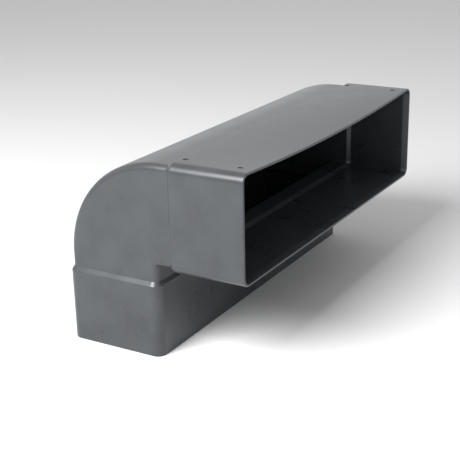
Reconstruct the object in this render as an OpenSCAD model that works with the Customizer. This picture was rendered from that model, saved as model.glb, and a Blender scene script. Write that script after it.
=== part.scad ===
// Flat duct bend: a one-piece moulded elbow that turns a flat rectangular duct through
// 90 degrees. A plain quarter-round body joins two female sockets, one facing forward and
// one facing down, and each socket is a step larger than the body.
// The bend stands on the rim of its lower socket. Millimetres, +Z up, front mouth towards -Y.

/* [Duct that plugs in] */
// Outside width of the flat duct
duct_w = 220; // [120:1:320]
// Outside height of the flat duct
duct_h = 55; // [40:1:100]
// Outside corner radius of the flat duct
duct_corner_r = 3; // [2.5:0.5:6]
// Wall of the flat duct, with which the airway of the bend lies flush
duct_wall = 1.5; // [1:0.1:2]

/* [Walls and fit] */
// Wall thickness of the bend everywhere
wall = 2; // [1.5:0.1:2.8]
// Clearance left round the duct in a socket, on each side
fit_gap = 0.2; // [0.1:0.05:0.5]

/* [Sockets] */
// Depth to which the duct enters the front socket
front_depth = 40.5; // [20:0.5:60]
// Depth to which the duct enters the lower socket
lower_depth = 38.5; // [20:0.5:60]
// Length of the sloped step between socket and body
shoulder_len = 2.5; // [2:0.5:6]
// How much further in the outside of the step lies than its inside
shoulder_shift = 2; // [1:0.5:5]
// Depth of the flared lead-in at the mouth of a socket
lead_len = 4; // [1:0.5:8]
// Width of the flared lead-in, taken off the wall
lead_w = 0.8; // [0.3:0.1:1]
// Chamfer on the outside edge of a rim
rim_chamfer = 0.4; // [0.2:0.1:0.5]

/* [Bend] */
// Straight body between the step of a socket and the bend
neck_len = 7.5; // [3:0.5:30]
// Outside radius of the tight inner corner of the bend
throat_r = 1; // [0.5:0.5:20]

/* [Moulding marks] */
// Diameter of the shallow round marks on top of the front socket
mark_d = 3; // [1:0.5:5]
// Depth of the round marks
mark_deep = 0.4; // [0.2:0.1:0.8]
// Distance of the marks from the ends of the socket
mark_from_end = 11.7; // [8:0.1:20]
// Distance of the front marks from the mouth
mark_front = 7.8; // [6:0.1:15]
// Distance of the rear marks from the full depth of the socket
mark_rear = 1; // [0:0.1:4]

/* [Hidden] */

// Fineness of the rounded corners and of the bend
CORNER_FN = 48;
BEND_FN = 128;
// How far cutting solids run clear of what they cut
CLEAR = 1;

// How much wider than the duct each face lies, on every side: the faces of a socket, then
// those of the body, whose inside is flush with the inside of the duct
socket_in = fit_gap;
socket_out = fit_gap + wall;
body_in = -duct_wall;
body_out = wall - duct_wall;

// Length of the two straight limbs, from the rim of the socket to the bend
limb_more = shoulder_shift + shoulder_len + neck_len;
front_len = front_depth + limb_more;
lower_len = lower_depth + limb_more;

// Distance from the bend's axis to the duct's inner face, and to the far side of a socket
inner_face = throat_r + body_out;
reach = inner_face + duct_h + socket_out;

// Depth and height of the whole part, which stands centred on the origin
all_y = front_len + reach;
all_z = lower_len + reach;

// Line that the bend turns about, parallel to X, and the plane of the front mouth
axis_y = all_y / 2 - reach;
axis_z = lower_len;
mouth_y = -all_y / 2;

// Centres of the rounded corners, which every section shares
corner_x = duct_w / 2 - duct_corner_r;
corner_y = [duct_corner_r, duct_h - duct_corner_r];

// Section of the duct grown by g on every side. It is centred on X, and the duct's inner
// face, towards the throat of the bend, stays at y = 0 whatever g is.
module section(g) {
    r = duct_corner_r + g;
    translate([-corner_x, -g]) square([2 * corner_x, duct_h + 2 * g]);
    translate([-corner_x - r, corner_y[0]])
        square([2 * (corner_x + r), corner_y[1] - corner_y[0]]);
    for (x = [-corner_x, corner_x], y = corner_y)
        translate([x, y]) circle(r = r, $fn = CORNER_FN);
}

// Straight length of the section from z0 to z1
module run(z0, z1, g) {
    translate([0, 0, z0]) linear_extrude(z1 - z0) section(g);
}

// Sloped length, grown by g0 at z0 and by g1 at z1: two slabs with sloped faces cross
// between four corner cones
module slope(z0, z1, g0, g1) {
    x0 = corner_x + duct_corner_r + g0;
    x1 = corner_x + duct_corner_r + g1;
    translate([-corner_x, 0, 0]) rotate([90, 0, 90]) linear_extrude(2 * corner_x)
        polygon([[-g0, z0], [duct_h + g0, z0], [duct_h + g1, z1], [-g1, z1]]);
    translate([0, corner_y[1], 0]) rotate([90, 0, 0])
        linear_extrude(corner_y[1] - corner_y[0])
            polygon([[-x0, z0], [x0, z0], [x1, z1], [-x1, z1]]);
    for (x = [-corner_x, corner_x], y = corner_y)
        translate([x, y, z0])
            cylinder(h = z1 - z0, r1 = duct_corner_r + g0, r2 = duct_corner_r + g1,
                $fn = CORNER_FN);
}

// Outside of a limb with a socket of that depth: chamfered rim, socket, step and straight
// body
module limb_outside(depth) {
    step = depth + shoulder_shift;
    slope(0, rim_chamfer, socket_out - rim_chamfer, socket_out);
    run(rim_chamfer, step, socket_out);
    slope(step, step + shoulder_len, socket_out, body_out);
    run(step + shoulder_len, depth + limb_more, body_out);
}

// Inside of a limb: lead-in that runs clear of the rim, socket, step and straight body
module limb_inside(depth) {
    flare = lead_w * (1 + CLEAR / lead_len);
    slope(-CLEAR, lead_len, socket_in + flare, socket_in);
    run(lead_len, depth, socket_in);
    slope(depth, depth + shoulder_len, socket_in, body_in);
    run(depth + shoulder_len, depth + limb_more, body_in);
}

// Quarter turn of the section about the bend's axis
module quarter_turn(g) {
    translate([0, axis_y, axis_z]) rotate([90, 0, 90])
        rotate_extrude(angle = 90, $fn = BEND_FN)
            translate([inner_face, 0]) rotate(-90) section(g);
}

// Puts a limb drawn along +Z in place: upright below the bend, or level in front of it
module as_lower() { translate([0, axis_y + inner_face, 0]) children(); }
module as_front() {
    translate([0, mouth_y, axis_z + inner_face]) rotate([90, 0, 180]) children();
}

// Shallow round marks near both ends of the front socket's top
module marks() {
    x = duct_w / 2 + socket_out - mark_from_end;
    for (side = [-x, x], back = [mark_front, front_depth - mark_rear])
        translate([side, mouth_y + back, all_z - mark_deep])
            cylinder(d = mark_d, h = mark_deep + CLEAR, $fn = CORNER_FN);
}

module duct_bend() {
    color([0.24, 0.25, 0.27]) difference() {
        union() {
            as_lower() limb_outside(lower_depth);
            as_front() limb_outside(front_depth);
            quarter_turn(body_out);
        }
        as_lower() limb_inside(lower_depth);
        as_front() limb_inside(front_depth);
        quarter_turn(body_in);
        marks();
    }
}

duct_bend();
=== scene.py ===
import math

import bmesh
import bpy
from mathutils import Matrix, Vector


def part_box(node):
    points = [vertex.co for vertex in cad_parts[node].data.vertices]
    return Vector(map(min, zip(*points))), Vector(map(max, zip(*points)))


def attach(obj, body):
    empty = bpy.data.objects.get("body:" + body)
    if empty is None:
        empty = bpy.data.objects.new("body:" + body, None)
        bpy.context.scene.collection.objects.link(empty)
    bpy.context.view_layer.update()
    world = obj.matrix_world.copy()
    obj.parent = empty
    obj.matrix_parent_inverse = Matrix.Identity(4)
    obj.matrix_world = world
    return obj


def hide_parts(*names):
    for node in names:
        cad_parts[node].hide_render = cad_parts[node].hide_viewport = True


# Flat duct bend, moulded in one piece from dark plastic. The shell is one closed wall
# section, swept round the duct's outline and then bent over the throat.
# Lengths below are in millimetres and are turned to metres where the mesh is made.

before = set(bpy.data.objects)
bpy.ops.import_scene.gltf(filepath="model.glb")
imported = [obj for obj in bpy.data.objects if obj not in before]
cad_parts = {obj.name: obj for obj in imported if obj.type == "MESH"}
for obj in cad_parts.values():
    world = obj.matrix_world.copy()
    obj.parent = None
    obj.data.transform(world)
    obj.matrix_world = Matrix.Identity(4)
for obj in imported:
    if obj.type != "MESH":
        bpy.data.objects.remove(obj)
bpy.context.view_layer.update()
MM = 0.001

# Duct that plugs in
DUCT_WIDTH = 220.0
DUCT_HEIGHT = 55.0
DUCT_CORNER_RADIUS = 3.0

# Wall faces, as distances outside the duct's own outline
SOCKET_INSIDE = 0.2
SOCKET_OUTSIDE = 2.2
BODY_INSIDE = -1.5
BODY_OUTSIDE = 0.5

# Sockets and bend, lengths along the duct
FRONT_DEPTH = 40.5
LOWER_DEPTH = 38.5
STEP_LENGTH = 2.5
STEP_SHIFT = 2.0
NECK_LENGTH = 7.5
LEAD_LENGTH = 4.0
LEAD_WIDTH = 0.8
THROAT_RADIUS = 1.0
INNER_FACE = THROAT_RADIUS + BODY_OUTSIDE

# Moulded edges
RIM_OUTER_RADIUS = 0.5
RIM_INNER_RADIUS = 0.25
LEAD_END_RADIUS = 3.0
STEP_CREST_RADIUS = 0.9
STEP_ROOT_RADIUS = 1.2

# Shallow round marks on top of the front socket
MARK_DIAMETER = 3.0
MARK_DEPTH = 0.4
MARK_FROM_END = 11.7
MARK_FRONT = 7.8
MARK_REAR = 39.5

# The upper lip sags between the ends, most at the mouth
LIP_SAG = 3.4
LIP_SAG_REACH = 44.0

# Mesh fineness
CORNER_PARTS = 8
LONG_CELL = 4.0
SHORT_CELL = 4.0
LENGTH_CELL = 3.5
BEND_PARTS = 32
EDGE_LOOP = 0.5


def box_sizes():
    """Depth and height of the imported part, in millimetres."""
    low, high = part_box("duct_bend")
    return (high.y - low.y) / MM, (high.z - low.z) / MM


LIMB_MORE = STEP_SHIFT + STEP_LENGTH + NECK_LENGTH
FRONT_LENGTH = FRONT_DEPTH + LIMB_MORE
LOWER_LENGTH = LOWER_DEPTH + LIMB_MORE
ARC_LENGTH = math.pi / 2 * (INNER_FACE + DUCT_HEIGHT / 2)
WHOLE_LENGTH = LOWER_LENGTH + ARC_LENGTH + FRONT_LENGTH
PART_DEPTH, PART_HEIGHT = box_sizes()
AXIS_Y = PART_DEPTH / 2 - INNER_FACE - DUCT_HEIGHT - SOCKET_OUTSIDE


# Outlines

def rounded(corners, parts):
    """Closed outline through corners (x, y, radius), each rounded to an arc with that many
    parts. Returns one list of points for each corner."""
    arcs = []
    count = len(corners)
    for i, (x, y, radius) in enumerate(corners):
        here = Vector((x, y))
        before = (Vector(corners[i - 1][:2]) - here).normalized()
        after = (Vector(corners[(i + 1) % count][:2]) - here).normalized()
        if radius == 0:
            arcs.append([here])
            continue
        half = before.angle(after) / 2
        middle = here + (before + after).normalized() * (radius / math.sin(half))
        start = here + before * (radius / math.tan(half)) - middle
        turn = math.pi - 2 * half
        if before.cross(after) > 0:
            turn = -turn
        arcs.append([
            middle + Matrix.Rotation(turn * k / parts, 2) @ start
            for k in range(parts + 1)
        ])
    return arcs


def straight(start, end, cell, edge):
    """Points between two ends, with one close to each end that holds the rounding's shade."""
    length = (end - start).length
    if length < 4 * edge:
        return []
    cells = max(1, round((length - 2 * edge) / cell))
    steps = [edge + (length - 2 * edge) * k / cells for k in range(cells + 1)]
    return [start + (end - start) * (s / length) for s in steps]


def joined(arcs, cell, edge):
    """One closed list of points from the arcs and the straight runs between them."""
    points = []
    for i, arc in enumerate(arcs):
        points += arc
        points += straight(arc[-1], arcs[(i + 1) % len(arcs)][0], cell, edge)
    return points


def duct_outline():
    """The duct's section: x across the duct, y up from its inner face."""
    x = DUCT_WIDTH / 2
    r = DUCT_CORNER_RADIUS
    corners = [(-x, 0, r), (x, 0, r), (x, DUCT_HEIGHT, r), (-x, DUCT_HEIGHT, r)]
    return joined(rounded(corners, CORNER_PARTS), LONG_CELL, EDGE_LOOP)


def socket_corners(depth):
    """Corners of a socket's wall from the neck outside, over the rim, to the neck inside:
    distance outside the duct, distance from the rim and rounding."""
    step = depth + STEP_SHIFT
    return [
        (BODY_OUTSIDE, step + STEP_LENGTH, STEP_ROOT_RADIUS),
        (SOCKET_OUTSIDE, step, STEP_CREST_RADIUS),
        (SOCKET_OUTSIDE, 0, RIM_OUTER_RADIUS),
        (SOCKET_INSIDE + LEAD_WIDTH, 0, RIM_INNER_RADIUS),
        (SOCKET_INSIDE, LEAD_LENGTH, LEAD_END_RADIUS),
        (SOCKET_INSIDE, depth, STEP_ROOT_RADIUS),
        (BODY_INSIDE, depth + STEP_LENGTH, STEP_CREST_RADIUS),
    ]


def wall_section():
    """The wall cut along the duct: distance outside the duct, place along the duct."""
    front = [(g, WHOLE_LENGTH - s, r) for g, s, r in socket_corners(FRONT_DEPTH)]
    lower = socket_corners(LOWER_DEPTH)[::-1]
    arcs = rounded(front + lower, 5)
    bend = [LOWER_LENGTH + ARC_LENGTH * k / BEND_PARTS for k in range(BEND_PARTS + 1)]
    points = []
    for i, arc in enumerate(arcs):
        points += arc
        following = arcs[(i + 1) % len(arcs)][0]
        last = arc[-1]
        if abs(following.y - last.y) > ARC_LENGTH:
            rising = following.y > last.y
            stops = bend if rising else bend[::-1]
            ends = [Vector((last.x, stops[0])), Vector((last.x, stops[-1]))]
            points += straight(last, ends[0], LENGTH_CELL, EDGE_LOOP)
            points += [Vector((last.x, s)) for s in stops]
            points += straight(ends[1], following, LENGTH_CELL, EDGE_LOOP)
        else:
            points += straight(last, following, LENGTH_CELL, EDGE_LOOP)
    return points


def helper_curve(name, points):
    """Closed straight-sided curve in the XY plane, in metres."""
    curve = bpy.data.curves.new(name, "CURVE")
    curve.dimensions = "3D"
    spline = curve.splines.new("POLY")
    spline.points.add(len(points) - 1)
    for target, point in zip(spline.points, points):
        target.co = (point.x * MM, point.y * MM, 0, 1)
    spline.use_cyclic_u = True
    helper = bpy.data.objects.new(name, curve)
    bpy.context.scene.collection.objects.link(helper)
    return helper


# Nodes

def add_node(tree, kind, settings=None, links=None, values=None):
    """Adds a node with its settings, the sockets linked to its inputs, and input values."""
    node = tree.nodes.new(kind)
    for key, value in (settings or {}).items():
        setattr(node, key, value)
    for key, value in (values or {}).items():
        node.inputs[key].default_value = value
    for key, socket in (links or {}).items():
        tree.links.new(socket, node.inputs[key])
    return node


def maths(tree, operation, *terms, clamp=False):
    """Result of a math node on numbers or sockets."""
    node = add_node(tree, "ShaderNodeMath", {"operation": operation, "use_clamp": clamp})
    for i, term in enumerate(terms):
        if isinstance(term, (int, float)):
            node.inputs[i].default_value = term
        else:
            tree.links.new(term, node.inputs[i])
    return node.outputs[0]


def shell_tree():
    """Sweeps the wall section round the duct's outline, cuts the marks, lets the upper lip
    sag and bends the whole over the throat. Straight, the duct lies along Z."""
    tree = bpy.data.node_groups.new("moulded_duct_bend", "GeometryNodeTree")
    face = tree.interface
    face.new_socket("Geometry", in_out="INPUT", socket_type="NodeSocketGeometry")
    face.new_socket("Geometry", in_out="OUTPUT", socket_type="NodeSocketGeometry")
    for name in ("Duct outline", "Wall section"):
        face.new_socket(name, in_out="INPUT", socket_type="NodeSocketObject")
    face.new_socket("Material", in_out="INPUT", socket_type="NodeSocketMaterial")
    for name in ("Lower limb", "Arc", "Inner face", "Axis Y", "Whole length", "Half width",
                 "Mid height", "Top face", "Lip sag", "Lip sag reach", "Mark radius",
                 "Mark depth", "Mark spread", "Mark front", "Mark rear"):
        face.new_socket(name, in_out="INPUT", socket_type="NodeSocketFloat")
    given = tree.nodes.new("NodeGroupInput").outputs
    out = tree.nodes.new("NodeGroupOutput")

    # Straight duct, swept
    outline = add_node(tree, "GeometryNodeObjectInfo", links={"Object": given["Duct outline"]})
    section = add_node(tree, "GeometryNodeObjectInfo", links={"Object": given["Wall section"]})
    upright = add_node(tree, "GeometryNodeSetCurveNormal", {"mode": "Z_UP"},
                       {"Curve": outline.outputs["Geometry"]})
    swept = add_node(tree, "GeometryNodeCurveToMesh", links={
        "Curve": upright.outputs["Curve"], "Profile Curve": section.outputs["Geometry"]})

    # Marks, cut into the flat top face near both ends
    middle = maths(tree, "MULTIPLY", maths(tree, "ADD", given["Mark front"], given["Mark rear"]), 0.5)
    apart = maths(tree, "SUBTRACT", given["Mark rear"], given["Mark front"])
    places = add_node(tree, "GeometryNodeMeshGrid", values={"Vertices X": 2, "Vertices Y": 2},
                      links={"Size X": given["Mark spread"], "Size Y": apart})
    place = add_node(tree, "ShaderNodeCombineXYZ", links={
        "Y": given["Top face"], "Z": maths(tree, "SUBTRACT", given["Whole length"], middle)})
    upended = add_node(tree, "GeometryNodeTransform", values={"Rotation": (math.pi / 2, 0, 0)},
                       links={"Geometry": places.outputs["Mesh"],
                              "Translation": place.outputs["Vector"]})
    cutter = add_node(tree, "GeometryNodeMeshCylinder", values={"Vertices": 48}, links={
        "Radius": given["Mark radius"],
        "Depth": maths(tree, "MULTIPLY", given["Mark depth"], 2.0)})
    cutters = add_node(tree, "GeometryNodeInstanceOnPoints",
                       values={"Rotation": (math.pi / 2, 0, 0)},
                       links={"Points": upended.outputs["Geometry"],
                              "Instance": cutter.outputs["Mesh"]})
    solid_cutters = add_node(tree, "GeometryNodeRealizeInstances",
                             links={"Geometry": cutters.outputs["Instances"]})
    cut = add_node(tree, "GeometryNodeMeshBoolean",
                   {"operation": "DIFFERENCE", "solver": "EXACT"},
                   {"Mesh 1": swept.outputs["Mesh"], "Mesh 2": solid_cutters.outputs["Geometry"]})

    # Sag of the upper lip: a parabola across the duct that fades back from the mouth
    position = add_node(tree, "GeometryNodeInputPosition")
    at = add_node(tree, "ShaderNodeSeparateXYZ", links={"Vector": position.outputs[0]}).outputs
    share = maths(tree, "DIVIDE", at["X"], given["Half width"])
    across = maths(tree, "SUBTRACT", 1.0, maths(tree, "MULTIPLY", share, share), clamp=True)
    start = maths(tree, "SUBTRACT", given["Whole length"], given["Lip sag reach"])
    back = maths(tree, "DIVIDE", maths(tree, "SUBTRACT", at["Z"], start),
                 given["Lip sag reach"], clamp=True)
    fade = maths(tree, "POWER", back, 1.8)
    upper = maths(tree, "GREATER_THAN", at["Y"], given["Mid height"])
    sag = maths(tree, "MULTIPLY", maths(tree, "MULTIPLY", across, fade),
                maths(tree, "MULTIPLY", upper, given["Lip sag"]))
    y = maths(tree, "SUBTRACT", at["Y"], sag)

    # Bend: straight up to the end of the lower limb, a quarter turn, then straight forward
    past = maths(tree, "SUBTRACT", at["Z"], given["Lower limb"])
    turn = maths(tree, "MULTIPLY", maths(tree, "DIVIDE", past, given["Arc"], clamp=True),
                 math.pi / 2)
    radius = maths(tree, "ADD", y, given["Inner face"])
    forward = maths(tree, "MAXIMUM", maths(tree, "SUBTRACT", past, given["Arc"]), 0.0)
    reach = maths(tree, "MULTIPLY", radius, maths(tree, "COSINE", turn))
    new_y = maths(tree, "SUBTRACT", maths(tree, "ADD", reach, given["Axis Y"]), forward)
    rise = maths(tree, "MULTIPLY", radius, maths(tree, "SINE", turn))
    new_z = maths(tree, "ADD", maths(tree, "MINIMUM", at["Z"], given["Lower limb"]), rise)
    bent = add_node(tree, "ShaderNodeCombineXYZ", links={"X": at["X"], "Y": new_y, "Z": new_z})
    placed = add_node(tree, "GeometryNodeSetPosition", links={
        "Geometry": cut.outputs["Mesh"], "Position": bent.outputs["Vector"]})

    real = add_node(tree, "GeometryNodeRealizeInstances",
                    links={"Geometry": placed.outputs["Geometry"]})
    finished = add_node(tree, "GeometryNodeSetMaterial", links={
        "Geometry": real.outputs["Geometry"], "Material": given["Material"]})
    tree.links.new(finished.outputs["Geometry"], out.inputs["Geometry"])
    return tree


def set_inputs(modifier, values):
    """Sets a Geometry Nodes modifier's inputs by socket identifier."""
    for item in modifier.node_group.interface.items_tree:
        if item.in_out == "INPUT" and item.name in values:
            modifier[item.identifier] = values[item.name]


def shell(material):
    """The whole bend as one closed mesh."""
    outline = helper_curve("duct_outline", duct_outline())
    # The sweep lays a section's Y along minus Z, so the section is turned over first
    section = helper_curve("wall_section", [Vector((g, -s)) for g, s in wall_section()])
    empty = bpy.data.meshes.new("empty")
    source = bpy.data.objects.new("shell_source", empty)
    bpy.context.scene.collection.objects.link(source)
    modifier = source.modifiers.new("shell", "NODES")
    modifier.node_group = shell_tree()
    lengths = {
        "Lower limb": LOWER_LENGTH, "Arc": ARC_LENGTH, "Inner face": INNER_FACE,
        "Axis Y": AXIS_Y, "Whole length": WHOLE_LENGTH, "Half width": DUCT_WIDTH / 2,
        "Mid height": DUCT_HEIGHT / 2, "Top face": DUCT_HEIGHT + SOCKET_OUTSIDE,
        "Lip sag": LIP_SAG, "Lip sag reach": LIP_SAG_REACH,
        "Mark radius": MARK_DIAMETER / 2, "Mark depth": MARK_DEPTH,
        "Mark spread": DUCT_WIDTH + 2 * (SOCKET_OUTSIDE - MARK_FROM_END),
        "Mark front": MARK_FRONT, "Mark rear": MARK_REAR,
    }
    values = {name: length * MM for name, length in lengths.items()}
    values.update({"Duct outline": outline, "Wall section": section, "Material": material})
    set_inputs(modifier, values)
    bpy.context.view_layer.update()
    graph = bpy.context.evaluated_depsgraph_get()
    mesh = bpy.data.meshes.new_from_object(source.evaluated_get(graph))
    mesh.name = "duct_bend_shell"
    for helper in (source, outline, section):
        bpy.data.objects.remove(helper)
    return bpy.data.objects.new("duct_bend_shell", mesh)


def face_outward(piece):
    """Merges doubles and points every face out of the wall."""
    work = bmesh.new()
    work.from_mesh(piece.data)
    bmesh.ops.remove_doubles(work, verts=work.verts, dist=1e-6)
    bmesh.ops.recalc_face_normals(work, faces=work.faces)
    if work.calc_volume(signed=True) < 0:
        bmesh.ops.reverse_faces(work, faces=work.faces)
    work.to_mesh(piece.data)
    work.free()


# Material

def hex_colour(code):
    """Linear colour of an sRGB hex value."""
    channels = [int(code[i:i + 2], 16) / 255 for i in (1, 3, 5)]
    linear = [c / 12.92 if c <= 0.04045 else ((c + 0.055) / 1.055) ** 2.4 for c in channels]
    return (*linear, 1.0)


def moulded_plastic():
    """Anthracite plastic from a polished mould: a dark body with a satin to glossy skin."""
    material = bpy.data.materials.new("moulded_dark_plastic")
    material.use_nodes = True
    tree = material.node_tree
    shader = tree.nodes["Principled BSDF"]
    shader.inputs["IOR"].default_value = 1.5
    place = add_node(tree, "ShaderNodeTexCoord").outputs["Object"]
    # Clouds about 18 mm across, where the melt cooled unevenly
    clouds = add_node(tree, "ShaderNodeTexNoise", links={"Vector": place},
                      values={"Scale": 1 / (18 * MM), "Detail": 4.0, "Roughness": 0.6})
    tint = add_node(tree, "ShaderNodeValToRGB", links={"Fac": clouds.outputs["Fac"]})
    ramp = tint.color_ramp
    ramp.elements[0].position = 0.35
    ramp.elements[0].color = hex_colour("#34373a")
    ramp.elements[1].position = 0.65
    ramp.elements[1].color = hex_colour("#3d4043")
    tree.links.new(tint.outputs["Color"], shader.inputs["Base Color"])
    shine = add_node(tree, "ShaderNodeMapRange", links={"Value": clouds.outputs["Fac"]},
                     values={"From Min": 0.3, "From Max": 0.7, "To Min": 0.26, "To Max": 0.34})
    tree.links.new(shine.outputs["Result"], shader.inputs["Roughness"])
    return material


def glow(name, colour, strength, camera_colour):
    """Empty stub that sets no world or floor colour; name, colour, strength and camera_colour are not
    used.
    """


# Setting

def studio():
    """White surroundings, a dim even light and a large soft lamp at the upper left."""
    world = bpy.data.worlds.new("studio")
    bpy.context.scene.world = world
    world.use_nodes = True
    tree = world.node_tree
    tree.nodes.clear()
    ray = add_node(tree, "ShaderNodeLightPath").outputs
    seen = maths(tree, "MAXIMUM", ray["Is Camera Ray"],
                 maths(tree, "MAXIMUM", ray["Is Glossy Ray"], ray["Is Transmission Ray"]))
    light = add_node(tree, "ShaderNodeBackground", values={"Color": (1, 1, 1, 1), "Strength": 0.45})
    white = add_node(tree, "ShaderNodeBackground", values={"Color": (1, 1, 1, 1), "Strength": 1.0})
    mix = add_node(tree, "ShaderNodeMixShader", links={
        0: seen, 1: light.outputs[0], 2: white.outputs[0]})
    add_node(tree, "ShaderNodeOutputWorld", links={"Surface": mix.outputs[0]})

    add_lamp("key", (-700, 150, 650), (0, 0, 50), 500, 14.0)


def add_lamp(name, place, target, size, watts):
    """Square area lamp at a place, aimed at a target, both in millimetres."""
    lamp = bpy.data.lights.new(name, "AREA")
    lamp.shape = "SQUARE"
    lamp.size = size * MM
    lamp.energy = watts
    holder = bpy.data.objects.new(name, lamp)
    holder.location = Vector(place) * MM
    direction = (Vector(target) - Vector(place)).normalized()
    holder.rotation_euler = direction.to_track_quat("-Z", "Y").to_euler()
    bpy.context.scene.collection.objects.link(holder)


def plain_floor():
    """Pale floor that keeps the bend's soft shadow."""
    mesh = bpy.data.meshes.new("floor")
    size = 3000 * MM
    mesh.from_pydata([(-size, -size, 0), (size, -size, 0), (size, size, 0), (-size, size, 0)],
                     [], [(0, 1, 2, 3)])
    floor = bpy.data.objects.new("floor", mesh)
    bpy.context.scene.collection.objects.link(floor)
    material = bpy.data.materials.new("pale_floor")
    material.use_nodes = True
    tree = material.node_tree
    tree.nodes["Principled BSDF"].inputs["Base Color"].default_value = hex_colour("#f4f4f4")
    tree.nodes["Principled BSDF"].inputs["Roughness"].default_value = 0.8
    mesh.materials.append(material)


def photo_camera():
    """Camera at the photograph's angle. Its lens fills a picture 460 pixels wide."""
    picture = 460
    focal = 1024.62
    azimuth, elevation, roll = (math.radians(a) for a in (59.67, 19.61, -1.18))
    eye = Vector((-519.67, -286.35, 248.47)) * MM
    data = bpy.data.cameras.new("camera")
    data.sensor_width = 36.0
    data.lens = data.sensor_width * focal / picture
    camera = bpy.data.objects.new("camera", data)
    ahead = Vector((math.cos(elevation) * math.sin(azimuth),
                    math.cos(elevation) * math.cos(azimuth), -math.sin(elevation)))
    turned = ahead.to_track_quat("-Z", "Y").to_matrix() @ Matrix.Rotation(roll, 3, "Z")
    camera.matrix_world = Matrix.Translation(eye) @ turned.to_4x4()
    bpy.context.scene.collection.objects.link(camera)
    bpy.context.scene.camera = camera


photo_camera()
studio()
plain_floor()
bend = shell(moulded_plastic())
bpy.context.scene.collection.objects.link(bend)
face_outward(bend)
bend.data.polygons.foreach_set("use_smooth", [True] * len(bend.data.polygons))
bend.data.set_sharp_from_angle(angle=math.radians(40))
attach(bend, "root")
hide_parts("duct_bend")
bpy.context.scene.view_settings.view_transform = "Standard"
